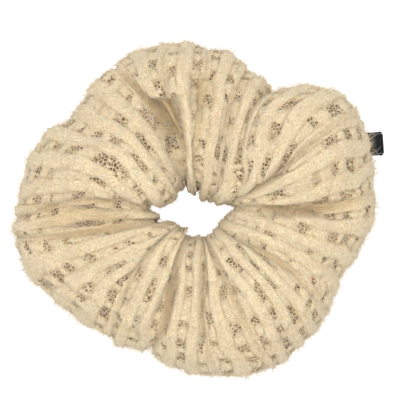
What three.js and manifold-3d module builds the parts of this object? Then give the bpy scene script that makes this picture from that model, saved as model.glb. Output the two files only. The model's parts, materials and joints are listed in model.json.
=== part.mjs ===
// A gathered knit scrunchie: a hollow sleeve of lace knit bunched round an elastic band, with the
// sewing threads that close it and a folded woven label caught in its outer seam.
// Millimetres, +Z up. The scrunchie lies flat, centred on the origin, with its underside at z = 0.

import * as THREE from 'three';
import Module from 'manifold-3d';
import { mergeVertices } from 'three/addons/utils/BufferGeometryUtils.js';

const wasm = await Module();
wasm.setup();

// ---- Driving dimensions ----

// Spokes round the ring: [direction in degrees, hole radius, rim radius, height of the top].
const SPOKES = [
  [0, 8.1, 52.8, 35],
  [18, 8.7, 54.9, 36],
  [36, 5.6, 56.4, 37],
  [48, 5.1, 53.4, 36],
  [58, 4.9, 45.5, 32],
  [70, 4.6, 47.1, 33],
  [85, 4.6, 50.4, 35],
  [102, 7.2, 53.4, 35],
  [118, 9.3, 52.2, 32],
  [135, 8.4, 49.5, 36],
  [152, 8.4, 52.2, 38],
  [170, 10.5, 54.3, 37],
  [188, 9.4, 55.8, 34],
  [206, 6.4, 51.9, 35],
  [224, 5.6, 46.8, 36],
  [240, 5.7, 45.0, 35],
  [252, 6.3, 43.8, 33],
  [264, 6.0, 47.4, 35],
  [282, 5.6, 49.2, 37],
  [300, 6.0, 51.3, 36],
  [318, 5.7, 50.1, 36],
  [338, 5.6, 48.0, 35],
  [350, 6.3, 50.1, 34],
];

const WALL = 2.4; // the gathered knit, pressed by its own cords
const CLEARANCE = 0.3; // between neighbours that touch on the real object
const UNDERSIDE_SAG = 3; // how far the round section would reach below the surface it rests on
const SECTION_FULLNESS = 0.85; // 1 is an ellipse, less is squarer

const ELASTIC_RADIUS = 15;
const ELASTIC_HEIGHT = 16; // of its middle above the resting surface
const ELASTIC_WIDTH = 6;
const ELASTIC_THICKNESS = 1;
const ELASTIC_OVERLAP = 40; // degrees of the second layer where the ends are sewn together
const ELASTIC_START = 160; // degrees
const ELASTIC_STEPS = 72;
const JOINT_ZIGZAGS = 8;
const JOINT_ZIGZAG_REACH = 2.1; // above and below the elastic's middle

const THREAD_DIAMETER = 0.5;
const THREAD_SIDES = 5;
const THREAD_END_GAP = 0.002; // of the ring, on each side of a seam thread's two ends
const LONG_SEAM_STEPS = 90;
const LOOPER_REACH = 1.6; // how far the overlock loops swing above and below the long seam
const LOOPER_LOOPS = 40;
const END_SEAM_SPOKE = 12.6; // where the tube's ends meet, counted in spokes
const END_SEAM_STEPS = 48;
const END_SEAM_GAP = 0.25; // radians of the tube's section left clear on each side of the long seam

const LABEL_SPOKE = 1.25; // where the label leaves the rim, counted in spokes
const LABEL_WIDTH = 7;
const LABEL_LENGTH = 3.6;
const LABEL_LAYER = 0.4;
const LABEL_FOLD_GAP = 0.5;
const LABEL_ROOT_GAP = 0.9; // room for the flap to swing

const RING_STEPS = 69;
const SECTION_STEPS = 20;
const CAVITY_RING_STEPS = 46;
const CAVITY_SECTION_STEPS = 14;
const HALF_SPACE = 200; // a box larger than the object

// ---- The ring that everything follows ----

const onRing = (degrees, radius, z = 0) => {
  const angle = THREE.MathUtils.degToRad(degrees);
  return new THREE.Vector3(radius * Math.cos(angle), radius * Math.sin(angle), z);
};

const closedLine = (points) => new THREE.CatmullRomCurve3(points, true);
const holeLine = closedLine(SPOKES.map(([degrees, hole]) => onRing(degrees, hole)));
const rimLine = closedLine(SPOKES.map(([degrees, , rim]) => onRing(degrees, rim)));
const topLine = closedLine(SPOKES.map(([degrees, , rim, top]) => onRing(degrees, rim, top)));

const wrapped = (turn) => ((turn % 1) + 1) % 1;
const full = (value) => Math.sign(value) * Math.abs(value) ** SECTION_FULLNESS;

// The sleeve's surface, or one inset from it. turn runs 0..1 round the ring; section is the angle
// round the tube, 0 at the rim, a quarter turn at the top and half a turn at the hole.
const sleevePoint = (turn, section, inset) => {
  const hole = holeLine.getPoint(wrapped(turn));
  const rim = rimLine.getPoint(wrapped(turn));
  const outward = rim.clone().sub(hole);
  const halfWidth = outward.length() / 2 - inset;
  outward.normalize();
  const top = topLine.getPoint(wrapped(turn)).z - inset;
  const bottom = inset;
  const middle = (top + bottom - UNDERSIDE_SAG) / 2;
  const halfHeight = top - middle;
  const point = hole.add(rim).multiplyScalar(0.5);
  point.addScaledVector(outward, halfWidth * full(Math.cos(section)));
  point.z = Math.max(bottom, middle + halfHeight * full(Math.sin(section)));
  return point;
};

// ---- Solids ----

const ringGeometry = (inset, ringSteps, sectionSteps) => {
  const geometry = new THREE.TorusGeometry(2, 1, sectionSteps, ringSteps);
  const position = geometry.getAttribute('position');
  for (let i = 0; i < position.count; i += 1) {
    const [x, y, z] = [position.getX(i), position.getY(i), position.getZ(i)];
    const turn = Math.atan2(y, x) / (2 * Math.PI);
    const section = Math.atan2(z, Math.hypot(x, y) - 2);
    position.setXYZ(i, ...sleevePoint(turn, section, inset));
  }
  return geometry;
};

const merged = (geometry) => {
  geometry.deleteAttribute('normal');
  geometry.deleteAttribute('uv');
  return mergeVertices(geometry, 1e-4);
};

const solid = (geometry) => {
  const shared = merged(geometry);
  return new wasm.Manifold(new wasm.Mesh({
    numProp: 3,
    vertProperties: new Float32Array(shared.getAttribute('position').array),
    triVerts: new Uint32Array(shared.getIndex().array),
  }));
};

const fromSolid = (manifold) => {
  const mesh = manifold.getMesh();
  const geometry = new THREE.BufferGeometry();
  geometry.setAttribute('position', new THREE.BufferAttribute(mesh.vertProperties, 3));
  geometry.setIndex(new THREE.BufferAttribute(mesh.triVerts, 1));
  geometry.computeVertexNormals();
  return geometry;
};

const swept = (outline, points, steps) => merged(new THREE.ExtrudeGeometry(outline, {
  extrudePath: new THREE.CatmullRomCurve3(points),
  steps,
  bevelEnabled: false,
}));

const sampled = (count, place) => Array.from({ length: count + 1 }, (_, i) => place(i / count));

const roundOutline = (diameter, sides) => new THREE.Shape(sampled(sides, (share) => {
  const angle = share * 2 * Math.PI;
  return new THREE.Vector2(Math.cos(angle), Math.sin(angle)).multiplyScalar(diameter / 2);
}).slice(0, sides));

const thread = (points, steps) => swept(
  roundOutline(THREAD_DIAMETER, THREAD_SIDES),
  points,
  steps,
);

// 1 and -1 in turn, at each of count places along a zigzag.
const swing = (share, count) => (Math.round(share * count) % 2 ? 1 : -1);

// ---- The sleeve, in two halves that pull apart along X ----

const sleeveHalf = (side) => {
  const shell = solid(ringGeometry(0, RING_STEPS, SECTION_STEPS))
    .subtract(solid(ringGeometry(WALL, CAVITY_RING_STEPS, CAVITY_SECTION_STEPS)));
  const keep = new THREE.BoxGeometry(HALF_SPACE, HALF_SPACE, HALF_SPACE);
  keep.translate(side * (HALF_SPACE + CLEARANCE) / 2, 0, 0);
  return fromSolid(shell.intersect(solid(keep)));
};

// ---- The elastic and the thread that joins its ends ----

const elasticTurn = 1 + ELASTIC_OVERLAP / 360;
const layerStep = ELASTIC_THICKNESS + CLEARANCE;

const elasticBand = () => {
  const section = new THREE.Shape([
    new THREE.Vector2(-ELASTIC_WIDTH / 2, -ELASTIC_THICKNESS / 2),
    new THREE.Vector2(ELASTIC_WIDTH / 2, -ELASTIC_THICKNESS / 2),
    new THREE.Vector2(ELASTIC_WIDTH / 2, ELASTIC_THICKNESS / 2),
    new THREE.Vector2(-ELASTIC_WIDTH / 2, ELASTIC_THICKNESS / 2),
  ]);
  const path = sampled(ELASTIC_STEPS, (share) => onRing(
    ELASTIC_START + share * elasticTurn * 360,
    ELASTIC_RADIUS + share * elasticTurn * layerStep,
    ELASTIC_HEIGHT,
  ));
  return swept(section, path, ELASTIC_STEPS);
};

// A zigzag over the outer layer, along the middle of the overlap.
const elasticJointThread = () => {
  const radius = ELASTIC_RADIUS + elasticTurn * layerStep
    + ELASTIC_THICKNESS / 2 + CLEARANCE + THREAD_DIAMETER / 2;
  const path = sampled(JOINT_ZIGZAGS, (share) => onRing(
    ELASTIC_START + (0.15 + 0.7 * share) * ELASTIC_OVERLAP,
    radius,
    ELASTIC_HEIGHT + swing(share, JOINT_ZIGZAGS) * JOINT_ZIGZAG_REACH,
  ));
  return thread(path, JOINT_ZIGZAGS * 4);
};

// ---- The long seam inside the rim, and the seam that closes the tube's ends ----

const seamInset = WALL + CLEARANCE + THREAD_DIAMETER;
const seamTurn = (share) => THREAD_END_GAP + share * (1 - 2 * THREAD_END_GAP);

const longSeamThread = () => thread(
  sampled(LONG_SEAM_STEPS, (share) => sleevePoint(seamTurn(share), 0, seamInset)),
  LONG_SEAM_STEPS,
);

const longSeamLooper = () => {
  const swings = LOOPER_LOOPS * 2;
  const inset = seamInset + CLEARANCE + THREAD_DIAMETER * 2;
  return thread(sampled(swings, (share) => {
    const point = sleevePoint(seamTurn(share), 0, inset);
    point.z += swing(share, swings) * LOOPER_REACH;
    return point;
  }), swings * 3);
};

// Runs round the tube and stops short of the long seam, which it would cross at the rim.
const endSeamThread = () => {
  const turn = END_SEAM_SPOKE / SPOKES.length;
  const inset = seamInset + CLEARANCE;
  const sweep = 2 * (Math.PI - END_SEAM_GAP);
  return thread(
    sampled(END_SEAM_STEPS, (share) => sleevePoint(turn, END_SEAM_GAP + share * sweep, inset)),
    END_SEAM_STEPS,
  );
};

// ---- The label: a ribbon folded in half, its fold outwards ----

const labelFlap = () => {
  const outer = LABEL_LAYER + LABEL_FOLD_GAP / 2;
  const inner = LABEL_FOLD_GAP / 2;
  const bend = LABEL_LENGTH - outer;
  const outline = new THREE.Shape();
  outline.moveTo(0, -outer);
  outline.lineTo(bend, -outer);
  outline.absarc(bend, 0, outer, -Math.PI / 2, Math.PI / 2, false);
  outline.lineTo(0, outer);
  outline.lineTo(0, inner);
  outline.lineTo(bend, inner);
  outline.absarc(bend, 0, inner, Math.PI / 2, -Math.PI / 2, true);
  outline.lineTo(0, -inner);
  outline.closePath();
  const flap = new THREE.ExtrudeGeometry(outline, {
    depth: LABEL_WIDTH,
    steps: 1,
    curveSegments: 8,
    bevelEnabled: false,
  });
  flap.translate(LABEL_ROOT_GAP, 0, -LABEL_WIDTH / 2);
  flap.rotateX(Math.PI / 2); // the outline's second direction becomes +Z
  return merged(flap);
};

const labelTurn = LABEL_SPOKE / SPOKES.length;
const labelRoot = sleevePoint(labelTurn, 0, 0);
const rimAlong = rimLine.getTangent(labelTurn);
const labelHeading = Math.atan2(-rimAlong.x, rimAlong.y);

// ---- Assembly ----

const cream = { color: 0xe4d1af, roughness: 0.95, metalness: 0 };
const white = { color: 0xf2efe6, roughness: 0.8, metalness: 0 };
const sewing = { color: 0xdcc9a4, roughness: 0.7, metalness: 0 };
const navy = { color: 0x14161f, roughness: 0.6, metalness: 0 };

const group = new THREE.Group();

const addPart = (name, geometry, finish) => {
  const mesh = new THREE.Mesh(geometry, new THREE.MeshStandardMaterial(finish));
  mesh.name = name;
  group.add(mesh);
  return mesh;
};

addPart('sleeve_left_half', sleeveHalf(-1), cream);
addPart('sleeve_right_half', sleeveHalf(1), cream);
addPart('elastic_band', elasticBand(), white);
addPart('elastic_joint_thread', elasticJointThread(), sewing);
addPart('long_seam_thread', longSeamThread(), sewing);
addPart('long_seam_looper_thread', longSeamLooper(), sewing);
addPart('end_seam_thread', endSeamThread(), sewing);

const label = addPart('label', labelFlap(), navy);
label.position.copy(labelRoot);
label.rotation.z = labelHeading;

const box = new THREE.Box3().setFromObject(group, true);
const centre = box.getCenter(new THREE.Vector3());
group.position.set(-centre.x, -centre.y, -box.min.z);

export default group;
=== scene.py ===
"""A gathered scrunchie of fuzzy lace knit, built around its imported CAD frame.

Lengths are in metres in the row frame. Sizes that read better in millimetres are written as n * MM.
"""

import json
import math

import bpy
import numpy as np
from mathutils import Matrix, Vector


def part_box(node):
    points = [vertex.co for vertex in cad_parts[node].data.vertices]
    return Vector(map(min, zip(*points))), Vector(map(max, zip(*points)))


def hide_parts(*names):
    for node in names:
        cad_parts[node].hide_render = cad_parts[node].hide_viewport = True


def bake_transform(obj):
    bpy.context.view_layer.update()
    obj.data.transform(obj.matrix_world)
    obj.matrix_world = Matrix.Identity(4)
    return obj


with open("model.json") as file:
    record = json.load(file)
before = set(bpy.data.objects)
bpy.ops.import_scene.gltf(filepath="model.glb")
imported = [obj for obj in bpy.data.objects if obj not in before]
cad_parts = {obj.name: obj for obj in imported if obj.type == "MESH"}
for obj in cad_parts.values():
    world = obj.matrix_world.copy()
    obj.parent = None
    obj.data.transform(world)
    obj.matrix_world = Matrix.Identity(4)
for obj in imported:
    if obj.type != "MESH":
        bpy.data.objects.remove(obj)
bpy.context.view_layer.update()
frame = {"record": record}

# The sleeve and the fibres get a second UV map of this name, laid out without overlaps. The outer face has
# this share of it.
BAKE_MAP = "OFBake"
OUTER_SHARE = 0.88
BAKE_GAP = 0.01
MM = 0.001
TAU = 2 * math.pi

# ---------------------------------------------------------------- the gathered ring, as dimensions

# Valleys between the lobes of the sleeve, anticlockwise:
# (ribs since the last valley, direction at the hole, halfway out and at the rim in degrees,
#  depth at the hole, halfway out and at the rim in millimetres,
#  share of the next lobe's hidden ribs that this valley hides, the rest being hidden by the next)
VALLEYS = [
    (4, 13, 3, 8, 1.5, 4.0, 0.8, 0.50),
    (3, 15, 30.5, 32, 1.5, 4.2, 1.3, 0.85),
    (3, 17, 57, 58.5, 0.8, 1.4, 3.0, 0.50),
    (2, 56, 71.5, 71, 0.8, 1.9, 1.7, 0.50),
    (2, 95, 88, 86.5, 1.0, 3.2, 1.7, 0.50),
    (2, 107, 106, 101, 1.2, 4.0, 0.7, 0.70),
    (2, 110, 112.5, 119.5, 1.5, 6.4, 2.5, 0.20),
    (6, 168, 173, 180, 1.5, 3.7, 1.3, 0.50),
    (2, 186, 188, 187, 1.5, 4.2, 1.0, 0.25),
    (4, 206, 223, 234, 1.2, 2.4, 1.0, 0.50),
    (3, 238, 251, 251, 1.5, 3.2, 2.2, 0.50),
    (3, 281, 272.5, 277, 1.5, 3.3, 1.3, 0.50),
    (2, 292, 293.5, 295, 1.2, 3.1, 1.0, 0.40),
    (4, 330, 331.5, 322, 1.2, 3.4, 0.8, 0.20),
]
RIBS = sum(valley[0] for valley in VALLEYS)

# Radii from the hole's centre in millimetres: (direction in degrees, radius).
RIM = [
    (0, 53.2), (17, 54.4), (24, 56.2), (33, 57.0), (42, 55.8), (50, 50.9), (58, 46.0), (66, 46.4),
    (78, 50.3), (90, 52.2), (105, 53.4), (118, 53.3), (130, 50.8), (141, 48.2), (155, 53.2),
    (170, 54.5), (186, 57.2), (198, 54.4), (212, 49.6), (226, 46.6), (238, 46.0), (249, 43.9),
    (260, 45.4), (275, 48.2), (294, 51.0), (308, 50.2), (320, 49.0), (338, 46.8), (350, 49.8),
]
HOLE = [
    (0, 7.3), (14, 8.7), (22, 7.0), (30, 6.0), (42, 6.2), (51, 4.0), (60, 4.4), (78, 5.2),
    (90, 7.2), (102, 5.4), (107, 8.0), (114, 10.4), (122, 9.4), (138, 9.5), (150, 8.8),
    (163, 11.0), (175, 13.4), (181, 10.4), (190, 10.6), (202, 5.5), (216, 5.6), (230, 4.1),
    (246, 5.6), (262, 5.1), (285, 4.5), (300, 5.5), (318, 6.1), (332, 5.2), (346, 6.7),
]
# Height of the top of the tube in millimetres, by direction at the rim.
TOP = [
    (0, 34), (30, 37), (57, 32), (72, 32), (100, 36), (119, 34), (150, 37), (183, 33),
    (215, 36), (250, 33), (285, 36), (315, 37), (340, 35),
]
# Hollows pressed into the top, and bulges, whose depth is negative: (direction in degrees,
# place from hole 0 to rim 1, half width in degrees, half length in places, depth in millimetres,
# how far the cloth on the rim side leans over, from 0 to about 1).
HOLLOWS = [
    (107, 0.45, 8, 0.19, 6.0, 1.1),
    (104, 0.78, 15, 0.14, -1.5, 0.0),
    (88, 0.68, 6, 0.12, 3.0, 0.6),
    (3, 0.52, 3.5, 0.34, 3.0, 0.0),
    (180, 0.50, 4.5, 0.36, 4.0, 0.0),
    (250, 0.55, 5, 0.22, 2.0, 0.0),
    (145, 0.40, 28, 0.36, -2.0, 0.0),
    (45, 0.60, 18, 0.36, -2.0, 0.0),
]
# Shallow creases across the ribs, where the cloth is folded flat: (direction, place) along each.
CREASES = [
    [(119, 0.63), (137, 0.61), (150, 0.63), (165, 0.80), (176, 0.97)],
    [(298, 0.86), (310, 0.85), (322, 0.86), (336, 0.89)],
    [(200, 0.90), (215, 0.84), (230, 0.83), (244, 0.88)],
]
CREASE_DEPTH = 0.8 * MM
CREASE_WIDTH = 0.016
CREASE_WANDER = 0.012
CREASE_TURNS = 31
CREASE_FADE = 2.5
# The cloth bulges into a low ridge on the hole side of a crease, measured in crease widths.
RIDGE_WIDTH = 2.6
RIDGE_SHIFT = 1.1
RIDGE_SHARE = 0.5

# The distance between the ribs that show, which grows from the hole to the rim.
PITCH_AT_HOLE = 4.1 * MM
PITCH_GROWTH = 1.9 * MM

# What the pile adds to the outlines above, in millimetres.
HOLE_EASE = 0.8
RIM_EASE = 0.9

ELASTIC_RADIUS = 15 * MM
ELASTIC_STEP = 1.3 * MM
ELASTIC_START = math.radians(160)
ELASTIC_OVERLAP = math.radians(40)
ELASTIC_WIDTH = 6 * MM
ELASTIC_THICKNESS = 1 * MM
ELASTIC_CORDS = 9
POINTS_PER_CORD = 6
# The ridge of a cord, as a share of half the thickness, and how squarely and thinly the band's edges end.
ELASTIC_RIDGE = 0.18
ELASTIC_SQUARENESS = 24
ELASTIC_THINNEST = 0.02
ELASTIC_WEAVE = 0.06 * MM
ELASTIC_PICKS = 180

UNDERSIDE_SAG = 3 * MM
SECTION_FULLNESS = 0.74
UNDERSIDE_PLEATS = 0.8
CLOTH_THICKNESS = 1.1 * MM
STRIP_LENGTH = 0.36
STRIP_WIDTH = 0.12

STEPS_PER_RIB = 14
SECTION_STEPS = 148
LINING_COARSENESS = 3
SEED = 11

THREAD_RADIUS = 0.25 * MM
THREAD_SIDES = 6
THREAD_STEPS_PER_RIB = 36
STITCHES_PER_RIB = 7
STITCH_DIP = 0.2 * MM
LOOPS_PER_RIB = 2
END_STITCHES = 60
JOINT_STITCHES = 14
POINTS_PER_STITCH = 8
# What the joint's zigzag leaves free at the ends of the overlap, and at the elastic's edges, as shares.
JOINT_MARGIN = 0.08
ZIGZAG_MARGIN = 0.1
LOOPER_DEPTH = 4.2 * THREAD_RADIUS
LOOPER_DIP = 1.2 * THREAD_RADIUS
SEAM_INSET = 2.2 * MM
SEAM_SWING = 0.10
END_SEAM_RIB = 24.5
END_SEAM_GAP = 0.25
END_SEAM_POINTS = 480

LABEL_WIDTH = 7 * MM
LABEL_LENGTH = 3.5 * MM
LABEL_SKEW = math.radians(12)
LABEL_ROOT = 3.0 * MM
LABEL_CORNER = 1.0 * MM
LABEL_GAP = 0.7 * MM
LABEL_THICKNESS = 0.4 * MM
LABEL_BOW = 0.5 * MM
LABEL_WAVE = 0.12 * MM
LABEL_WEAVE = 0.03 * MM
LABEL_WARPS = 18
LABEL_WEFTS = 20
# The share of each half of the ribbon that is in its fold, and where its pale line runs across it.
LABEL_FOLD = 0.12
LABEL_LINE_PLACE = 0.42
LABEL_ROWS = 81
LABEL_COLUMNS = 61
UP = np.array([0.0, 0.0, 1.0])

random = np.random.default_rng(SEED)

# ---------------------------------------------------------------- small tools


def smooth(low, high, value):
    """0 below low, 1 above high, and a smooth step between them."""
    t = np.clip((value - low) / (high - low), 0, 1)
    return t * t * (3 - 2 * t)


def closed_curve(points, period):
    """A smooth periodic function through points, (place, value)."""
    places = np.array([p for p, _ in points], float)
    values = np.array([v for _, v in points], float)
    places = np.concatenate([places - period, places, places + period])
    values = np.tile(values, 3)
    slopes = np.gradient(values, places)

    def at(x):
        x = np.mod(x - places[len(points)], period) + places[len(points)]
        i = np.clip(np.searchsorted(places, x, side="right") - 1, 0, len(places) - 2)
        width = places[i + 1] - places[i]
        t = (x - places[i]) / width
        return (
            values[i] * (1 + 2 * t) * (1 - t) ** 2
            + slopes[i] * width * t * (1 - t) ** 2
            + values[i + 1] * t**2 * (3 - 2 * t)
            + slopes[i + 1] * width * t**2 * (t - 1)
        )

    return at


def patches(rib, section, per_rib, across, seed):
    """Smooth random patches from -1 to 1: per_rib of them to each rib, and across round the tube."""
    rows = round(RIBS * per_rib)
    values = np.random.default_rng(seed).uniform(-1, 1, (rows, across))
    x = np.mod(rib * rows / RIBS, rows)
    y = np.mod(section * across / TAU, across)
    i, j = x.astype(int) % rows, y.astype(int) % across
    a, b = smooth(0, 1, np.mod(x, 1)), smooth(0, 1, np.mod(y, 1))
    k, m = (i + 1) % rows, (j + 1) % across
    near = values[i, j] * (1 - a) + values[k, j] * a
    far = values[i, m] * (1 - a) + values[k, m] * a
    return near * (1 - b) + far * b


def unit(vectors):
    return vectors / np.maximum(np.linalg.norm(vectors, axis=-1, keepdims=True), 1e-12)


# ---------------------------------------------------------------- the sleeve's surface

valley_table = np.array(VALLEYS, float)
lobe_ribs = np.roll(valley_table[:, 0], -1)
valley_places = np.cumsum(valley_table[:, 0]) - valley_table[0, 0]
valley_angles = valley_table[:, 1:4].T
valley_depths = valley_table[:, 4:7].T
valley_share = valley_table[:, 7]
rim_radius = closed_curve(RIM, 360)
hole_radius = closed_curve(HOLE, 360)
top_height = closed_curve(TOP, 360)


def quadratic(at_hole, halfway, at_rim, place):
    """The parabola through three values, at place 0, 0.5 and 1."""
    return (
        at_hole * (1 - place) * (1 - 2 * place)
        + halfway * 4 * place * (1 - place)
        + at_rim * place * (2 * place - 1)
    )


def full(value):
    return np.sign(value) * np.abs(value) ** SECTION_FULLNESS


def place_of(section):
    """How far out a point of the tube's section lies, from 0 at the hole to 1 at the rim."""
    return 0.5 + 0.5 * full(np.cos(section))


def section_of(place):
    """The point on the top of the tube's section that lies at that place."""
    across = 2 * place - 1
    return math.acos(math.copysign(abs(across) ** (1 / SECTION_FULLNESS), across))


def ring(direction, section):
    """Points of the ring before its folds sink in. section is 0 at the rim, a quarter turn on top."""
    place = place_of(section)
    inner = (hole_radius(direction) + HOLE_EASE) * MM
    outer = (rim_radius(direction) - RIM_EASE) * MM
    radius = inner + (outer - inner) * place
    top = top_height(direction) * MM
    middle = (top - UNDERSIDE_SAG) / 2
    height = middle + (top - middle) * full(np.sin(section))
    angle = np.radians(direction)
    return np.stack([radius * np.cos(angle), radius * np.sin(angle), height], axis=-1)


def outward(direction, section):
    """Unit normals of the ring."""
    round_it = ring(direction + 1, section) - ring(direction - 1, section)
    across = ring(direction, section + 0.01) - ring(direction, section - 0.01)
    return unit(np.cross(round_it, across))


# How roundly the ribs turn from the top of a lobe into a valley, and how far the hidden ones still spread.
CORNER_ROUNDING = 0.08
HIDDEN_SPREAD = 0.03

# A valley's wall: a steep part, which starts at this share of the ribs that the valley hides and ends this
# many ribs past them, and a gentle slope that ends further out.
WALL_START = 0.85
WALL_WIDTH = 0.36
SLOPE_WIDTH = 2.0
WALL_SHARE = 0.8

# A rib's lace fades in between these shares of its full width.
LEAST_ROOM = 0.12
FULL_ROOM = 0.62

# The fewest ribs that show on a lobe, where it is narrowest.
FEWEST_SHOWN = 0.3


def soft_clamp(x):
    """x where it is positive and nearly 0 where it is negative, with a rounded corner."""
    return 0.5 * (x + np.sqrt(x * x + CORNER_ROUNDING)) + HIDDEN_SPREAD * x


def valley_wall(away, hidden):
    """1 at the bottom of a valley and 0 on top of the lobe, away ribs from the valley."""
    steep = 1 - smooth(WALL_START * hidden, hidden + WALL_WIDTH, away)
    broad = 1 - smooth(0, hidden + SLOPE_WIDTH, away)
    return WALL_SHARE * steep + (1 - WALL_SHARE) * broad


def lace_pitch(place):
    """The distance between ribs at their full width."""
    return PITCH_AT_HOLE + PITCH_GROWTH * place


def width_at(start, end, place):
    """How wide the ring is between two directions, which are in degrees."""
    middle = (start + end) / 2
    radius = hole_radius(middle) + (rim_radius(middle) - hole_radius(middle)) * place
    return np.radians(end - start) * radius * MM


def spread_ribs(rib, place):
    """(direction in degrees, depth of the valleys) at each point.

    The ribs that have no room on top of their lobe are crowded into the valleys beside it."""
    turn = np.floor(rib / RIBS)
    along = rib - turn * RIBS
    lobe = np.searchsorted(valley_places, along, side="right") - 1
    following = (lobe + 1) % len(VALLEYS)
    start = quadratic(*valley_angles[:, lobe], place)
    end = quadratic(*valley_angles[:, following], place) + 360 * (following == 0)
    count = lobe_ribs[lobe]
    t = along - valley_places[lobe]

    shown = np.clip(width_at(start, end, place) / lace_pitch(place), FEWEST_SHOWN, count)
    hidden_first = (count - shown) * valley_share[lobe]
    hidden_last = count - shown - hidden_first

    def spread(t):
        return soft_clamp(t - hidden_first) - soft_clamp(t - count + hidden_last)

    share = (spread(t) - spread(0)) / (spread(count) - spread(0))
    depth = quadratic(*valley_depths[:, lobe], place).clip(0) * valley_wall(t, hidden_first)
    depth += quadratic(*valley_depths[:, following], place).clip(0) * valley_wall(count - t, hidden_last)
    return start + (end - start) * share + 360 * turn, depth * MM


def room_to_show(rib, place):
    """1 where the ribs have their full width, 0 where they are crowded into a valley."""
    step = 0.05
    before = spread_ribs(rib - step, place)[0]
    after = spread_ribs(rib + step, place)[0]
    width = width_at(before, after, place) / (2 * step)
    return smooth(LEAST_ROOM, FULL_ROOM, width / lace_pitch(place))


# How far the cloth is pushed over the edge of a hollow, as an angle of the tube's section.
OVERHANG_REACH = 0.25


def hollows(direction, section):
    """(how far the cloth slides over an edge, depth) where it is dented or bulges."""
    place = place_of(section)
    # All of it is on top, and fades out down the sides of the tube.
    above = smooth(-0.9, 0.3, np.sin(section))
    slide, depth = 0, 0
    for centre, at, half_width, half_length, deep, overhang in HOLLOWS:
        away = (np.mod(direction - centre + 180, 360) - 180) / half_width
        along = (place - at) / half_length
        depth = depth + deep * MM * above * np.exp(-(away**6) - along**6)
        past_edge = section - section_of(at + half_length)
        slide = slide - overhang * past_edge * np.exp(-(away**4) - (past_edge / OVERHANG_REACH) ** 2)
    return slide, depth


# The wave over each rib, at the rim and what it gains towards the hole, and how unevenly the ribs stand,
# each alone and in broad patches.
WAVE_AT_RIM = 0.15 * MM
WAVE_GROWTH = 0.15 * MM
RIB_UNEVENNESS = 0.45 * MM
BROAD_UNEVENNESS = 0.6 * MM


def rib_height(rib, place, section, showing):
    """Each rib stands at its own height, and sinks and rises along its length."""
    wave = (WAVE_AT_RIM + WAVE_GROWTH * (1 - place)) * np.cos(TAU * rib) * showing
    own = patches(rib, section, 1, 9, SEED + 1)
    broad = patches(rib, section, 1 / 3, 5, SEED + 2)
    return wave + RIB_UNEVENNESS * own + BROAD_UNEVENNESS * broad


def crease_depth(direction, place, section):
    direction = np.mod(direction, 360)
    depth = 0
    for points in CREASES:
        first, last = points[0][0], points[-1][0]
        line = np.interp(direction, [p[0] for p in points], [p[1] for p in points])
        line = line + CREASE_WANDER * np.sin(np.radians(CREASE_TURNS * direction))
        begun = smooth(first - CREASE_FADE, first + CREASE_FADE, direction)
        ended = smooth(last - CREASE_FADE, last + CREASE_FADE, direction)
        across = (place - line) / CREASE_WIDTH
        ridge = np.exp(-((across / RIDGE_WIDTH + RIDGE_SHIFT) ** 2))
        depth = depth + begun * (1 - ended) * (np.exp(-(across**2)) - RIDGE_SHARE * ridge)
    return depth * CREASE_DEPTH * smooth(-0.1, 0.2, np.sin(section))


# The lace: fuzzy ribs with rungs of the same pile between them, and net windows between the rungs.
RIB_HALF = 0.285
RIB_SWAY = 0.14
LACE_PERIODS = 17
RIB_SQUARENESS = 3.2
RUNG_SQUARENESS = 2.8
RIB_RISE = 0.77 * MM
RUNG_RISE = 0.66 * MM
NET_SINK = 0.35 * MM
LANE_SQUEEZE = 0.2
TUFT_RISE = 0.16 * MM
RIB_WOBBLE = 0.13
PILE_FULLNESS = 1.6
# Where the net ends across a lane, as shares of the lane's half width.
NET_INNER_EDGE = 0.75
NET_OUTER_EDGE = 1.25
# How much of the lanes the rungs cover, and how much that varies from place to place.
RUNG_SHARE = 0.24
RUNG_VARIETY = 0.9
RUNG_EDGE = 0.5
# How far the rungs stray along their lane: in two waves of each lane's own, and at random.
RUNG_LONG_WAVE = 1.6
RUNG_SHORT_WAVE = 0.9
RUNG_SCATTER = 1.3
# The height of the pile, how much it varies, and what is left of it where ribs are crowded.
RELIEF = 0.85
RELIEF_VARIETY = 0.45
CROWDED_RELIEF = 0.2
# What a deep hollow takes from the lace, and the depths between which it does.
HOLLOW_WEAR = 0.7
SHALLOW_HOLLOW = 4 * MM
DEEP_HOLLOW = 8 * MM
# The depths between which a fold gets its painted shade, a golden tint, and how much a hollow counts as a
# fold.
FOLD_START = 0.6 * MM
FOLD_FULL = 6.5 * MM
HOLLOW_AS_FOLD = 0.6
# The heights of the pile, from 0 to 1, between which a groove ends. The groove gets a painted shade line.
GROOVE_FLOOR = 0.2
GROOVE_TOP = 0.85

lane_draw = np.random.default_rng(SEED + 5)
lane_phase = lane_draw.uniform(0, TAU, RIBS)
lane_wobble = lane_draw.uniform(0, TAU, (RIBS, 2))


def pillow(offset, squareness):
    """The height of a soft round pad, 1 in its middle and 0 from its edge on."""
    return np.clip(1 - np.abs(offset) ** squareness, 0, 1) ** (PILE_FULLNESS / squareness)


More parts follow.
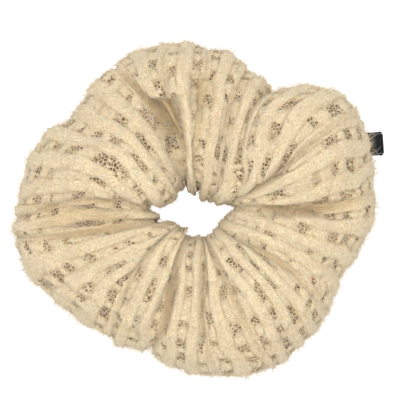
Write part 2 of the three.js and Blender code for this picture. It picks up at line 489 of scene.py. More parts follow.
def lace(rib, section):
    """(height of the ribs, of the rungs between them, how open the net is), each from 0 to 1."""
    rib = rib + RIB_WOBBLE * patches(rib, section, 1, 24, SEED + 3)
    from_rib = np.mod(rib + 0.5, 1) - 0.5
    on_rib = pillow(from_rib / RIB_HALF, RIB_SQUARENESS)
    lane = np.floor(rib).astype(int) % RIBS
    in_lane = (np.mod(rib, 1) - 0.5) / (0.5 - RIB_HALF)
    along = (
        LACE_PERIODS * section
        + lane_phase[lane]
        + RUNG_LONG_WAVE * np.sin(2 * section + lane_wobble[lane, 0])
        + RUNG_SHORT_WAVE * np.sin(5 * section + lane_wobble[lane, 1])
        + RUNG_SCATTER * patches(rib, section, 2, 50, SEED + 4)
    )
    share = RUNG_SHARE + RUNG_VARIETY * patches(rib, section, 1, 13, SEED + 6)
    covered = smooth(-RUNG_EDGE, RUNG_EDGE, np.cos(along) + share)
    rung = covered * pillow(in_lane, RUNG_SQUARENESS)
    net = (1 - covered) * (1 - smooth(NET_INNER_EDGE, NET_OUTER_EDGE, np.abs(in_lane)))
    return on_rib, rung, net


def sleeve_surface(rib, section, lift=0.0):
    """(points, looks) of the gathered cloth, lifted off it by lift.

    looks are, from 0 to 1: how open the net is, how deep in a fold, how near a rib's edge. The last two
    place painted shade in the knit's colour."""
    place = place_of(section)
    squeezed = rib + LANE_SQUEEZE / TAU * np.sin(TAU * rib)
    squeezed = squeezed + RIB_SWAY * patches(rib, section, 1, 11, SEED + 9)
    direction, valley = spread_ribs(squeezed, place)
    valley = valley * (1 + UNDERSIDE_PLEATS * smooth(-0.1, 0.7, -np.sin(section)))
    slide, hollow = hollows(direction, section)
    on_rib, rung, net = lace(rib, section)
    worn = HOLLOW_WEAR * smooth(SHALLOW_HOLLOW, DEEP_HOLLOW, hollow)
    showing = room_to_show(squeezed, place) * (1 - worn)
    net = net * showing
    relief = RELIEF + RELIEF_VARIETY * patches(rib, section, 1 / 3, 6, SEED + 7)
    relief = relief * (CROWDED_RELIEF + (1 - CROWDED_RELIEF) * showing)
    height = rib_height(rib, place, section, showing) - valley - hollow
    height = height - crease_depth(direction, place, section) - NET_SINK * net
    height = height + np.maximum(on_rib * RIB_RISE, rung * RUNG_RISE) * relief
    height = height + TUFT_RISE * patches(rib, section, 5, 74, SEED + 8) + lift
    points = ring(direction, section + slide)
    points = points + outward(direction, section + slide) * height[..., None]
    # The grooves between the pads get a painted shade line in the knit's colour.
    groove = (1 - smooth(GROOVE_FLOOR, GROOVE_TOP, np.maximum(on_rib, rung))) * showing
    # Painted shade: the knit's colour turns golden, and tan where deepest, where the cloth lies deep in a
    # valley or hollow.
    deep = smooth(FOLD_START, FOLD_FULL, valley + HOLLOW_AS_FOLD * hollow)
    return points, {"net": net, "deep": deep, "groove": groove}


def grid(rib_steps, section_steps):
    ribs = np.arange(rib_steps) * RIBS / rib_steps
    sections = np.arange(section_steps) * TAU / section_steps
    return np.meshgrid(ribs, sections, indexing="ij")


# Cloth below the first height is pressed flat: each fade that it would hang lower leaves 1/e of its height.
FLOOR_SOFTNESS = 0.4 * MM
FLOOR_FADE = 2.4 * MM


def settle(points):
    """Presses what hangs below the floor flat, as the cloth's own weight does."""
    z = points[..., 2]
    pressed = FLOOR_SOFTNESS * np.exp((z - FLOOR_SOFTNESS) / FLOOR_FADE)
    points[..., 2] = np.where(z < FLOOR_SOFTNESS, pressed, z)
    return points


def elastic_path(turns):
    """The middle line of the elastic, a flat spiral whose ends overlap. turns is from 0 to 1."""
    angle = ELASTIC_START + turns * (TAU + ELASTIC_OVERLAP)
    radius = ELASTIC_RADIUS + ELASTIC_STEP * smooth(0.0, 1.0, turns)
    return np.stack([radius * np.cos(angle), radius * np.sin(angle), 0 * angle], axis=-1)


def ring_centre():
    """Where the ring's hole lies in the row frame, from the place of the CAD's elastic."""
    low, high = (np.array(corner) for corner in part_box("elastic_band"))
    own = elastic_path(np.linspace(0, 1, 400))
    shift = (low + high) / 2 - (own.min(0) + own.max(0)) / 2
    return np.array([shift[0], shift[1], 0])


OFFSET = ring_centre()


# ---------------------------------------------------------------- meshes


def mesh_object(name, points, faces):
    mesh = bpy.data.meshes.new(name)
    mesh.from_pydata(points, [], faces)
    mesh.update()
    mesh.polygons.foreach_set("use_smooth", [True] * len(mesh.polygons))
    obj = bpy.data.objects.new(name, mesh)
    bpy.context.scene.collection.objects.link(obj)
    return obj


def ring_faces(rows, columns, flip=False, first=0):
    """Quads of a grid that closes on itself both ways."""
    i, j = np.meshgrid(np.arange(rows), np.arange(columns), indexing="ij")
    corners = [
        i * columns + j,
        (i + 1) % rows * columns + j,
        (i + 1) % rows * columns + (j + 1) % columns,
        i * columns + (j + 1) % columns,
    ]
    quads = np.stack(corners, axis=-1).reshape(-1, 4) + first
    return quads[:, ::-1] if flip else quads


def point_values(obj, name, values):
    attribute = obj.data.attributes.new(name, "FLOAT", "POINT")
    attribute.data.foreach_set("value", np.asarray(values, np.float32).ravel())


def at_rest(obj):
    """Keeps each point's place before the part moves, so that the pattern moves with the cloth."""
    places = np.empty(len(obj.data.vertices) * 3, np.float32)
    obj.data.vertices.foreach_get("co", places)
    attribute = obj.data.attributes.new("rest", "FLOAT_VECTOR", "POINT")
    attribute.data.foreach_set("vector", places)


def grid_map(rows, columns, corner, size):
    """The UV places of the quads of a closed grid, laid flat from corner over size."""
    i, j = np.meshgrid(np.arange(rows), np.arange(columns), indexing="ij")
    u = corner[0] + np.stack([i, i + 1, i + 1, i], axis=-1) * size[0] / rows
    v = corner[1] + np.stack([j, j, j + 1, j + 1], axis=-1) * size[1] / columns
    return np.stack([u, v], axis=-1).reshape(-1, 2)


def add_map(obj, name, places):
    layer = obj.data.uv_layers.new(name=name)
    layer.data.foreach_set("uv", places.astype(np.float32).ravel())


def make_sleeve():
    """One closed shell: the outer face, and an inner face one thickness of cloth within it."""
    rows, columns = RIBS * STEPS_PER_RIB, SECTION_STEPS
    outside, looks = sleeve_surface(*grid(rows, columns))
    outside = settle(outside + OFFSET)
    in_rows, in_columns = rows // LINING_COARSENESS, columns // LINING_COARSENESS
    inside, in_looks = sleeve_surface(*grid(in_rows, in_columns), lift=-CLOTH_THICKNESS)
    inside = inside + OFFSET
    inside[..., 2] = np.maximum(inside[..., 2], CLOTH_THICKNESS)

    corners = np.concatenate([outside.reshape(-1, 3), inside.reshape(-1, 3)])
    outer_faces = ring_faces(rows, columns)
    inner_faces = ring_faces(in_rows, in_columns, flip=True, first=rows * columns)
    obj = mesh_object("sleeve", corners, [*outer_faces.tolist(), *inner_faces.tolist()])
    for name, values in looks.items():
        point_values(obj, name, np.concatenate([values.ravel(), in_looks[name].ravel()]))
    at_rest(obj)

    cloth = grid_map(rows, columns, (0, 0), (STRIP_LENGTH, STRIP_WIDTH))
    lining = grid_map(in_rows, in_columns, (0, 0), (STRIP_LENGTH, STRIP_WIDTH))
    add_map(obj, "cloth", np.concatenate([cloth, lining]))
    cloth = grid_map(rows, columns, (0, 0), (1, OUTER_SHARE))
    lining_share = 1 - OUTER_SHARE - BAKE_GAP
    lining = grid_map(in_rows, in_columns, (0, OUTER_SHARE + BAKE_GAP), (1, lining_share))
    add_map(obj, BAKE_MAP, np.concatenate([cloth, lining]))
    return obj


# ---------------------------------------------------------------- brushed fibres

FIBRE_SIDES = 3
FIBRE_CORNERS = 2 * FIBRE_SIDES + 1
FIBRE_ROOT_DEPTH = 0.1 * MM
FIBRE_CURL = 0.4
FIBRE_TAPER = 0.8
FIBRE_VARIETY = 0.3
FIBRE_LIFT_VARIETY = 0.7
FIBRE_TIP_LIFT = 0.4
# Fibres near the hole are worn down to this share of their length, between these places.
WORN_LENGTH = 0.45
WORN_FROM = 0.3
WORN_FULLY = 0.05
# Each layer: piece, count, shortest and longest, lift off the cloth, half width, spread of headings.
FIBRE_LAYERS = [
    ("sleeve_nap", 19000, 0.8 * MM, 2.0 * MM, 0.25, 0.05 * MM, 0.6),
    ("sleeve_strays", 19000, 1.5 * MM, 5.0 * MM, 1.0, 0.045 * MM, 1.2),
]
# Roots are drawn this many times too often, since those that fall on open net are dropped.
SPARE_ROOTS = 3
ROOT_CELLS_PER_RIB = 6
ROOT_CELLS_ROUND = 90
OPEN_ENOUGH = 0.6


def fibre_roots(count):
    """Places on the pile, spread evenly over the cloth's real area."""
    rib, section = grid(RIBS * ROOT_CELLS_PER_RIB, ROOT_CELLS_ROUND)
    drawn = count * SPARE_ROOTS
    points = sleeve_surface(rib, section)[0]
    across = np.roll(points, -1, axis=1) - points
    round_it = np.roll(points, -1, axis=0) - points
    area = np.linalg.norm(np.cross(round_it, across), axis=-1).ravel()
    pick = random.choice(area.size, drawn, p=area / area.sum())
    roots_rib = rib.ravel()[pick] + random.uniform(0, RIBS / rib.shape[0], drawn)
    roots_section = section.ravel()[pick] + random.uniform(0, TAU / rib.shape[1], drawn)
    net = sleeve_surface(roots_rib, roots_section)[1]["net"]
    kept = np.flatnonzero(net < random.uniform(0.0, OPEN_ENOUGH, drawn))[:count]
    return roots_rib[kept], roots_section[kept]


def fibre_map(obj, count):
    """A small patch of the UV square for each fibre, since each has a single shade."""
    corner = np.empty(len(obj.data.loops), np.int32)
    obj.data.loops.foreach_get("vertex_index", corner)
    fibre, turn = corner // FIBRE_CORNERS, corner % FIBRE_CORNERS * TAU / FIBRE_CORNERS
    side = math.ceil(math.sqrt(count))
    middle = np.stack([fibre % side + 0.5, fibre // side + 0.5], axis=-1)
    return (middle + 0.4 * np.stack([np.cos(turn), np.sin(turn)], axis=-1)) / side


def make_fibres(name, count, shortest, longest, lift, half_width, heading_spread):
    """Loose fibres, each a bent three-sided hair that tapers to a point.

    lift is how steeply they leave the cloth, and heading_spread how far they turn from the ribs."""
    rib, section = fibre_roots(count)
    small = 0.02
    root = sleeve_surface(rib, section)[0] + OFFSET
    round_it = unit(sleeve_surface(rib + small, section)[0] + OFFSET - root)
    across = unit(sleeve_surface(rib, section + small)[0] + OFFSET - root)
    normal = unit(np.cross(round_it, across))

    def drawn(low, high):
        return random.uniform(low, high, count)[:, None]

    heading = random.normal(0, heading_spread, count) + math.pi * random.integers(0, 2, count)
    heading = heading[:, None]
    flat = unit(np.cos(heading) * across + np.sin(heading) * round_it)
    whole = smooth(WORN_FULLY, WORN_FROM, place_of(section))[:, None]
    worn = WORN_LENGTH + (1 - WORN_LENGTH) * whole
    length = worn * (shortest + (longest - shortest) * drawn(0, 1) ** 2)
    rise = normal * drawn(lift * (1 - FIBRE_LIFT_VARIETY), lift * (1 + FIBRE_LIFT_VARIETY))
    curl = unit(np.cross(flat, normal)) * random.normal(0, FIBRE_CURL, count)[:, None]
    start = root - normal * FIBRE_ROOT_DEPTH
    middle = root + length * 0.5 * unit(flat + rise)
    tip = middle + length * 0.5 * unit(flat + rise * FIBRE_TIP_LIFT + curl)
    side = unit(np.cross(unit(tip - start), normal))
    other = unit(np.cross(side, unit(tip - start)))
    thick = half_width * drawn(1 - FIBRE_VARIETY, 1 + FIBRE_VARIETY)
    corners = [
        centre + thick * size * (math.cos(turn) * side + math.sin(turn) * other)
        for centre, size in ((start, 1.0), (middle, FIBRE_TAPER))
        for turn in np.arange(FIBRE_SIDES) * TAU / FIBRE_SIDES
    ]
    corners = np.stack([*corners, tip], axis=1)
    corners[..., 2] = np.maximum(corners[..., 2], 0)
    first = (np.arange(count) * FIBRE_CORNERS)[:, None]
    shaft = [(0, 1, 4, 3), (1, 2, 5, 4), (2, 0, 3, 5)]
    cone = [(3, 4, 6), (4, 5, 6), (5, 3, 6), (2, 1, 0)]
    faces = [first + np.array(face) for face in [*shaft, *cone]]
    obj = mesh_object(name, corners.reshape(-1, 3), [row for part in faces for row in part.tolist()])
    shade = random.uniform(0, 1, count)
    point_values(obj, "shade", np.repeat(shade, FIBRE_CORNERS))
    add_map(obj, BAKE_MAP, fibre_map(obj, count))
    return obj


# ---------------------------------------------------------------- elastic, threads and label


def swept(name, path, outline, closed):
    """A tube whose outline, given as (sideways, upward) points, follows the path."""
    following = np.roll(path, -1, axis=0)
    previous = np.roll(path, 1, axis=0)
    if not closed:
        following[-1], previous[0] = path[-1], path[0]
    ahead = unit(following - previous)
    side = unit(np.cross(ahead, UP))
    up = np.cross(side, ahead)
    outline = np.asarray(outline)
    corners = (
        path[:, None]
        + side[:, None] * outline[None, :, :1]
        + up[:, None] * outline[None, :, 1:]
    )
    rows, columns = len(path), len(outline)
    faces = ring_faces(rows, columns, flip=True)
    if closed:
        faces = faces.tolist()
    else:
        first_end = list(range(columns))
        last_end = [(rows - 1) * columns + k for k in reversed(range(columns))]
        faces = faces[: (rows - 1) * columns].tolist() + [first_end, last_end]
    return mesh_object(name, corners.reshape(-1, 3), faces)


def thread_outline():
    turn = np.arange(THREAD_SIDES) * TAU / THREAD_SIDES
    return THREAD_RADIUS * np.stack([np.cos(turn), np.sin(turn)], axis=-1)


def elastic_outline():
    """A flat band with the ridges of its rubber cords along both faces."""
    steps = np.linspace(-1, 1, ELASTIC_CORDS * POINTS_PER_CORD + 1)
    ridges = 1 - ELASTIC_RIDGE + ELASTIC_RIDGE * np.cos(math.pi * ELASTIC_CORDS * steps)
    edges = np.sqrt(np.clip(1 - np.abs(steps) ** ELASTIC_SQUARENESS, ELASTIC_THINNEST, 1))
    half = ELASTIC_THICKNESS / 2 * ridges * edges
    up = steps * ELASTIC_WIDTH / 2
    outer = np.stack([half, up], axis=-1)
    inner = np.stack([-half, up], axis=-1)[::-1]
    return np.concatenate([outer, inner])


def make_elastic():
    low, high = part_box("elastic_band")
    middle = np.array([0, 0, (low[2] + high[2]) / 2])
    turns = np.linspace(0, 1, 360)
    weave = ELASTIC_WEAVE * np.cos(TAU * ELASTIC_PICKS * turns)
    path = elastic_path(turns)
    path = path * (1 + weave / ELASTIC_RADIUS)[:, None]
    obj = swept("elastic", path + OFFSET + middle, elastic_outline(), closed=False)
    at_rest(obj)
    return obj


def make_elastic_stitches():
    """A zigzag over the outer end of the elastic, which joins it to the turn beneath."""
    low, high = (np.array(corner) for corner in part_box("elastic_joint_thread"))
    steps = np.linspace(0, 1, JOINT_STITCHES * POINTS_PER_STITCH)
    zigzag = np.abs(np.mod(steps * JOINT_STITCHES, 2) - 1)
    overlap = ELASTIC_OVERLAP / (TAU + ELASTIC_OVERLAP)
    path = elastic_path(1 - overlap * (JOINT_MARGIN + (1 - 2 * JOINT_MARGIN) * steps))
    path = path * (1 + (ELASTIC_THICKNESS / 2 + THREAD_RADIUS) / ELASTIC_RADIUS) + OFFSET
    path[:, 2] = low[2] + (high[2] - low[2]) * (ZIGZAG_MARGIN + (1 - 2 * ZIGZAG_MARGIN) * zigzag)
    return swept("elastic_stitches", path, thread_outline(), closed=False)


def seam_steps():
    """The points of the long seam's threads, as ribs."""
    return np.arange(RIBS * THREAD_STEPS_PER_RIB) / THREAD_STEPS_PER_RIB


def make_long_seam():
    """Lockstitches along the cloth's joined edges, just inside the rim."""
    rib = seam_steps()
    dip = STITCH_DIP * np.cos(TAU * STITCHES_PER_RIB * rib)
    path = sleeve_surface(rib, 0 * rib, lift=-SEAM_INSET + dip)[0] + OFFSET
    return swept("long_seam", path, thread_outline(), closed=True)


def make_long_seam_looper():
    """The overlock thread, which swings from side to side of the long seam and binds its edge."""
    rib = seam_steps()
    swing = SEAM_SWING * np.sin(TAU * LOOPS_PER_RIB * rib)
    below = SEAM_INSET + LOOPER_DEPTH + LOOPER_DIP * np.cos(TAU * LOOPS_PER_RIB * rib)
    path = sleeve_surface(rib, swing, lift=-below)[0] + OFFSET
    return swept("long_seam_looper", path, thread_outline(), closed=True)


def make_end_seam():
    """The stitches that join the tube's two ends, round the inside of the tube."""
    along = np.arange(END_SEAM_POINTS) / (END_SEAM_POINTS - 1)
    section = END_SEAM_GAP + along * (TAU - 2 * END_SEAM_GAP)
    dip = STITCH_DIP * np.cos(END_STITCHES * section)
    rib = np.full(END_SEAM_POINTS, END_SEAM_RIB)
    path = sleeve_surface(rib, section, lift=-SEAM_INSET + dip)[0] + OFFSET
    path[:, 2] = np.maximum(path[:, 2], CLOTH_THICKNESS + THREAD_RADIUS)
    return swept("end_seam", path, thread_outline(), closed=False)


def label_hinge():
    """(place, outward direction, direction along the rim) of the label's hinge, from the record."""
    joints = frame["record"]["behaviour"]["joints"]
    joint = next(joint for joint in joints if joint["name"] == "label_flip")
    axis = unit(np.array(joint["axis"]))
    return np.array(joint["pos_m"]), np.cross(axis, UP), axis


def make_label():
    """A woven ribbon folded in half, its cut ends caught inside the sleeve."""
    hinge, hinge_out, hinge_along = label_hinge()
    out = math.cos(LABEL_SKEW) * hinge_out - math.sin(LABEL_SKEW) * hinge_along
    along = math.cos(LABEL_SKEW) * hinge_along + math.sin(LABEL_SKEW) * hinge_out
    steps = np.linspace(-1, 1, LABEL_ROWS)
    reach = np.abs(steps)
    layer = np.sign(steps) * LABEL_GAP / 2 * smooth(0, LABEL_FOLD, reach)
    across = np.linspace(-0.5, 0.5, LABEL_COLUMNS)
    s, c = np.meshgrid(np.arange(len(steps)), across, indexing="ij")
    into_corner = (np.abs(c) * LABEL_WIDTH - LABEL_WIDTH / 2 + LABEL_CORNER).clip(0)
    furthest = LABEL_LENGTH - LABEL_CORNER + np.sqrt(LABEL_CORNER**2 - into_corner**2)
    outward_by = np.minimum(LABEL_LENGTH - reach[s] * (LABEL_LENGTH + LABEL_ROOT), furthest)
    bow = LABEL_BOW * np.cos(math.pi * c) * (outward_by / LABEL_LENGTH).clip(0, 1)
    wave = LABEL_WAVE * np.sin(5 * c + 2 * steps[s])
    middle = (
        hinge
        + out * outward_by[..., None]
        + along * (c * LABEL_WIDTH)[..., None]
        + UP * (layer[s] + bow + wave)[..., None]
    )
    round_it = np.gradient(middle, axis=0)
    sideways = np.gradient(middle, axis=1)
    normal = unit(np.cross(round_it, sideways))
    weave = LABEL_WEAVE * np.cos(TAU * LABEL_WARPS * c) * np.cos(TAU * LABEL_WEFTS * steps[s])
    half = (LABEL_THICKNESS / 2 + weave)[..., None]
    rows, columns = middle.shape[:2]
    corners = np.concatenate([middle + normal * half, (middle - normal * half)[:, ::-1]], axis=1)
    faces = ring_faces(rows, 2 * columns)[: (rows - 1) * 2 * columns].tolist()
    faces += [list(range(2 * columns))[::-1], [(rows - 1) * 2 * columns + k for k in range(2 * columns)]]
    obj = mesh_object("label", corners.reshape(-1, 3), faces)
    place = np.stack([np.concatenate([c, c[:, ::-1]], 1), np.tile(outward_by, 2) / LABEL_LENGTH], -1)
    attribute = obj.data.attributes.new("ribbon", "FLOAT_VECTOR", "POINT")
    ribbon = np.zeros((rows * 2 * columns, 3), np.float32)
    ribbon[:, :2] = place.reshape(-1, 2)
    attribute.data.foreach_set("vector", ribbon.ravel())
    return obj


# ---------------------------------------------------------------- materials


class Nodes:
    """Short names for building one material's node tree."""

    def __init__(self, name):
        self.material = bpy.data.materials.new(name)
        self.material.use_nodes = True
        self.tree = self.material.node_tree
        self.shader = self.tree.nodes["Principled BSDF"]

    def add(self, kind, **settings):
        node = self.tree.nodes.new(kind)
        for key, value in settings.items():
            setattr(node, key, value)
        return node

    def link(self, source, target):
        self.tree.links.new(source, target)

    def feed(self, socket, value):
        if isinstance(value, bpy.types.NodeSocket):
            self.link(value, socket)
        else:
            socket.default_value = value

    def math(self, operation, a, b=0.0):
        node = self.add("ShaderNodeMath", operation=operation)
        self.feed(node.inputs[0], a)
        self.feed(node.inputs[1], b)
        return node.outputs[0]

    def mix(self, factor, a, b):
        node = self.add("ShaderNodeMix", data_type="RGBA")
        self.feed(node.inputs["Factor"], factor)
        self.feed(node.inputs["A"], a)
        self.feed(node.inputs["B"], b)
        return node.outputs["Result"]

    def times(self, a, b):
        return self.math("MULTIPLY", a, b)

    def plus(self, a, b):
        return self.math("ADD", a, b)

    def ramp(self, value, low, high):
        """value mapped so that low gives 0 and high gives 1, smoothly."""
        node = self.add("ShaderNodeMapRange", interpolation_type="SMOOTHSTEP")
        self.feed(node.inputs["Value"], value)
        self.feed(node.inputs["From Min"], low)
        self.feed(node.inputs["From Max"], high)
        return node.outputs["Result"]

    def value(self, name):
        return self.add("ShaderNodeAttribute", attribute_name=name).outputs["Fac"]

    def vector(self, name):
        return self.add("ShaderNodeAttribute", attribute_name=name).outputs["Vector"]

    def map(self, name):
        return self.add("ShaderNodeUVMap", uv_map=name).outputs["UV"]

    def place(self):
        return self.add("ShaderNodeTexCoord").outputs["Object"]

    def stretched(self, vector, scale):
        node = self.add("ShaderNodeMapping")
        self.link(vector, node.inputs["Vector"])
        node.inputs["Scale"].default_value = scale
        return node.outputs["Vector"]

    def noise(self, vector, scale, detail=3.0, roughness=0.55):
        node = self.add("ShaderNodeTexNoise")
        self.link(vector, node.inputs["Vector"])
        node.inputs["Scale"].default_value = scale
        node.inputs["Detail"].default_value = detail
        node.inputs["Roughness"].default_value = roughness
        return node.outputs["Fac"]

    def cells(self, vector, scale, randomness):
        """Distance to the nearest wall between cells, as in a net."""
        node = self.add("ShaderNodeTexVoronoi", feature="DISTANCE_TO_EDGE")
        self.link(vector, node.inputs["Vector"])
        node.inputs["Scale"].default_value = scale
        node.inputs["Randomness"].default_value = randomness
        return node.outputs["Distance"]

    def bump(self, height, distance):
        node = self.add("ShaderNodeBump")
        node.inputs["Strength"].default_value = 1.0
        node.inputs["Distance"].default_value = distance
        self.link(height, node.inputs["Height"])
        self.link(node.outputs["Normal"], self.shader.inputs["Normal"])


CREAM = (0.745, 0.595, 0.365, 1)
CREAM_LIGHT = (0.93, 0.81, 0.585, 1)
CREAM_DULL = (0.70, 0.59, 0.425, 1)
TAN = (0.46, 0.30, 0.13, 1)
# A golden tint painted into the folds as painted shade.
GOLDEN_FOLD_SHADE = (0.84, 0.61, 0.31, 1)
NET_THREAD = (0.84, 0.69, 0.46, 1)
# The net's holes: painted shade of the tube's dark inside in dark brown and brown, and a pale grey that
# paints light seen through both layers.
NET_HOLE_SHADE = (0.205, 0.112, 0.052, 1)
NET_HOLE_SHADE_BROWN = (0.40, 0.26, 0.13, 1)
NET_HOLE_LIGHT_THROUGH = (0.64, 0.56, 0.46, 1)
RUBBER_PALE = (0.90, 0.88, 0.82, 1)
RUBBER_DARK = (0.74, 0.70, 0.62, 1)
THREAD_PALE = (0.76, 0.64, 0.44, 1)
THREAD_DARK = (0.60, 0.48, 0.31, 1)
LABEL_BLACK = (0.004, 0.004, 0.006, 1)
LABEL_SHINE = (0.022, 0.023, 0.028, 1)
LABEL_LINE = (0.55, 0.55, 0.56, 1)
LABEL_FUZZ = (0.20, 0.19, 0.17, 1)
FIBRE_DARK = (0.66, 0.51, 0.32, 1)
FIBRE_LIGHT = (0.94, 0.83, 0.62, 1)


def knit_material():
    """Brushed pile on ribs and rungs, and a net where there is none, whose holes are painted dark as
    painted shade of the tube's inside, a few pale as painted light seen through.
    """
    n = Nodes("knit")
    rest = n.vector("rest")
    cloth = n.map("cloth")
    net = n.value("net")
    deep = n.value("deep")

    fine = n.noise(rest, 1700, 4, 0.7)
    mottle = n.noise(rest, 140, 3, 0.5)
    brushed = n.noise(n.stretched(cloth, (3.0, 1.0, 1.0)), 600, 3, 0.65)
    painted_groove_shade = n.times(n.value("groove"), n.ramp(n.noise(rest, 300, 2), 0.36, 0.56))

    # Each tint is (where it lies, from 0 to 1, its strength there, colour).
    tints = [
        (n.ramp(fine, 0.38, 0.62), 1.0, CREAM_LIGHT),
        (n.ramp(n.noise(rest, 2400, 3, 0.7), 0.54, 0.72), 0.75, TAN),
        (n.ramp(mottle, 0.45, 0.75), 0.5, CREAM_DULL),
        (n.ramp(brushed, 0.52, 0.78), 0.30, TAN),
        # Painted shade: golden, and tan where deepest, in the folds.
        (deep, 0.65, GOLDEN_FOLD_SHADE),
        (n.ramp(deep, 0.50, 0.90), 0.08, TAN),
        # Painted shade: a tan line along the grooves between ribs and rungs.
        (painted_groove_shade, 0.6, TAN),
    ]
    pile_colour = CREAM
    for where, strength, tint in tints:
        pile_colour = n.mix(n.times(where, strength), pile_colour, tint)

    ragged = n.times(n.math("SUBTRACT", n.noise(rest, 450, 5, 0.65), 0.5), 2.2)
    opened = n.ramp(n.plus(net, ragged), 0.30, 0.75)
    wall = n.cells(rest, 1050, 1.0)
    size = n.plus(wall, n.times(n.math("SUBTRACT", opened, 1.0), 0.28))
    hole = n.times(n.ramp(size, 0.07, 0.16), n.ramp(opened, 0.02, 0.15))
    # The holes are painted: dark and brown for the shade inside the tube, a few pale grey for light seen
    # through both layers of net.
    hole_shade_colour = n.mix(n.ramp(n.noise(rest, 110, 2), 0.42, 0.60), NET_HOLE_SHADE, NET_HOLE_SHADE_BROWN)
    hole_shade_colour = n.mix(n.ramp(n.noise(rest, 170, 2), 0.59, 0.66), hole_shade_colour, NET_HOLE_LIGHT_THROUGH)
    net_colour = n.mix(n.times(opened, 0.8), pile_colour, NET_THREAD)
    n.link(n.mix(hole, net_colour, hole_shade_colour), n.shader.inputs["Base Color"])

    tufts = n.plus(n.times(fine, 0.7), n.times(brushed, 0.6))
    n.bump(n.math("SUBTRACT", tufts, hole), 0.8 * MM)
    n.link(n.ramp(fine, -0.6, 1.2), n.shader.inputs["Roughness"])
    n.shader.inputs["Subsurface Weight"].default_value = 0.45
    n.shader.inputs["Subsurface Radius"].default_value = (1.0, 0.65, 0.4)
    n.shader.inputs["Subsurface Scale"].default_value = 1.0 * MM
    n.shader.inputs["Sheen Weight"].default_value = 0.35
    n.shader.inputs["Sheen Roughness"].default_value = 0.4
    n.shader.inputs["Sheen Tint"].default_value = (1.0, 0.93, 0.8, 1)
    n.shader.inputs["Specular IOR Level"].default_value = 0.1
    return n.material


def fibre_material():
    n = Nodes("fibre")
    n.link(n.mix(n.value("shade"), FIBRE_DARK, FIBRE_LIGHT), n.shader.inputs["Base Color"])
    n.shader.inputs["Roughness"].default_value = 0.8
    n.shader.inputs["Sheen Weight"].default_value = 0.2
    n.shader.inputs["Specular IOR Level"].default_value = 0.15
    return n.material


def spun_material(name, pale, dark, scale, roughness):
    """Spun or woven yarn, mottled between two shades."""
    n = Nodes(name)
    place = n.place()
    yarn = n.noise(place, scale, 3, 0.6)
    n.link(n.mix(n.ramp(yarn, 0.35, 0.65), dark, pale), n.shader.inputs["Base Color"])
    n.bump(yarn, 0.1 * MM)
    n.shader.inputs["Roughness"].default_value = roughness
    return n.material


def label_material():
    """Near-black woven ribbon with a thin pale line inside its edges and a fuzzy root."""
    n = Nodes("label")
    axes = n.add("ShaderNodeSeparateXYZ")
    n.link(n.vector("ribbon"), axes.inputs[0])
    across, out = axes.outputs[0], axes.outputs[1]
    threads = n.noise(n.place(), 5000, 2, 0.6)
    colour = n.mix(n.ramp(threads, 0.35, 0.65), LABEL_BLACK, LABEL_SHINE)
    from_line = n.math("SUBTRACT", n.math("ABSOLUTE", across), LABEL_LINE_PLACE)
    line = n.math("SUBTRACT", 1.0, n.ramp(n.math("ABSOLUTE", from_line), 0.008, 0.022))
    colour = n.mix(n.times(line, 0.35), colour, LABEL_LINE)
    root = n.math("SUBTRACT", 1.0, n.ramp(n.plus(out, n.times(threads, 0.3)), 0.25, 0.75))
    colour = n.mix(n.times(root, 0.35), colour, LABEL_FUZZ)
    n.link(colour, n.shader.inputs["Base Color"])
    n.bump(threads, 0.08 * MM)
    n.link(n.ramp(threads, -0.8, 1.6), n.shader.inputs["Roughness"])
    n.shader.inputs["Specular IOR Level"].default_value = 0.12
    return n.material


# ---------------------------------------------------------------- assembly


def soft_piece(obj, material, slot, *nodes):
    """A piece given its material, which stands for the named CAD nodes and hides them."""
    obj.data.materials.append(material)
    if nodes:
        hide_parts(*nodes)
    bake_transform(obj)
    return obj


def assemble():
    sleeve = soft_piece(make_sleeve(), knit_material(), "knit", "sleeve_left_half", "sleeve_right_half")
    fibre_look = fibre_material()
    fibres = [soft_piece(make_fibres(*layer), fibre_look, "knit") for layer in FIBRE_LAYERS]

    rubber = spun_material("elastic", RUBBER_PALE, RUBBER_DARK, 2500, 0.7)
    thread = spun_material("thread", THREAD_PALE, THREAD_DARK, 4000, 0.6)
    soft_piece(make_elastic(), rubber, "elastic", "elastic_band")
    soft_piece(make_elastic_stitches(), thread, "thread", "elastic_joint_thread")
    soft_piece(make_long_seam(), thread, "thread", "long_seam_thread")
    soft_piece(make_long_seam_looper(), thread, "thread", "long_seam_looper_thread")
    soft_piece(make_end_seam(), thread, "thread", "end_seam_thread")

    label = make_label()
    label.data.materials.append(label_material())
    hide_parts("label")
    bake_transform(label)


assemble()

# ---------------------------------------------------------------- floor, light and camera


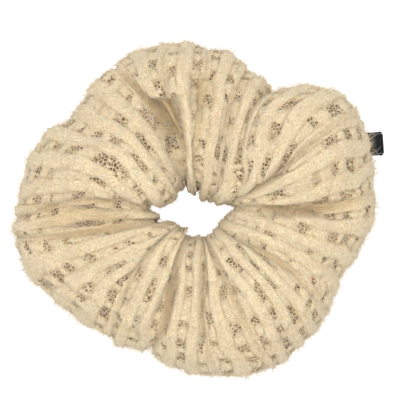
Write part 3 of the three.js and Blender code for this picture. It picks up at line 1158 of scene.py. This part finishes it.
# The key light stands near the camera, and the overhead light lights the inside of the hole.
KEY_PLACE = (-0.15, 0.22, 1.3)
KEY_SIZE = 0.5
KEY_POWER = 4.3
OVERHEAD_HEIGHT = 0.17
OVERHEAD_SIZE = 0.06
OVERHEAD_POWER = 0.084
WORLD_STRENGTH = 0.75
FLOOR_HALF_SIZE = 4.0
FLOOR_GAP = 0.2 * MM
FLOOR_COLOUR = (0.35, 0.35, 0.35, 1)
FLOOR_GLOW = 1.0
WHITE = (1, 1, 1, 1)


def area_light(name, location, target, size, power):
    light = bpy.data.lights.new(name, "AREA")
    light.shape = "DISK"
    light.size = size
    light.energy = power
    obj = bpy.data.objects.new(name, light)
    obj.location = location
    direction = np.array(target) - np.array(location)
    obj.rotation_euler = Vector(direction).to_track_quat("-Z", "Y").to_euler()
    obj.visible_camera = False
    bpy.context.scene.collection.objects.link(obj)


def make_floor():
    """A white floor that glows, so that it stays white round the ring and in its hole."""
    far = FLOOR_HALF_SIZE
    corners = [(-far, -far, 0), (far, -far, 0), (far, far, 0), (-far, far, 0)]
    floor = mesh_object("floor", corners, [(0, 1, 2, 3)])
    floor.location.z = -FLOOR_GAP
    n = Nodes("floor")
    n.shader.inputs["Base Color"].default_value = FLOOR_COLOUR
    n.shader.inputs["Roughness"].default_value = 0.9
    n.shader.inputs["Emission Color"].default_value = WHITE
    n.shader.inputs["Emission Strength"].default_value = FLOOR_GLOW
    floor.data.materials.append(n.material)


def make_studio():
    make_floor()
    world = bpy.data.worlds.new("studio")
    bpy.context.scene.world = world
    world.use_nodes = True
    background = world.node_tree.nodes["Background"]
    background.inputs["Color"].default_value = WHITE
    background.inputs["Strength"].default_value = WORLD_STRENGTH
    area_light("key", KEY_PLACE, (0, 0, 0), KEY_SIZE, KEY_POWER)
    area_light("overhead", (OFFSET[0], OFFSET[1], OVERHEAD_HEIGHT), OFFSET, OVERHEAD_SIZE, OVERHEAD_POWER)
    bpy.context.scene.view_settings.view_transform = "Standard"


def make_camera():
    """Straight above, far off, so that the ring shows almost without perspective."""
    picture_width = 0.1248
    distance = 1.0
    ring_height = 0.018
    centre = (0.0026, 0.0004)
    camera = bpy.data.cameras.new("camera")
    camera.lens = camera.sensor_width * distance / picture_width
    obj = bpy.data.objects.new("camera", camera)
    obj.location = (*centre, ring_height + distance)
    bpy.context.scene.collection.objects.link(obj)
    bpy.context.scene.camera = obj


make_studio()
make_camera()
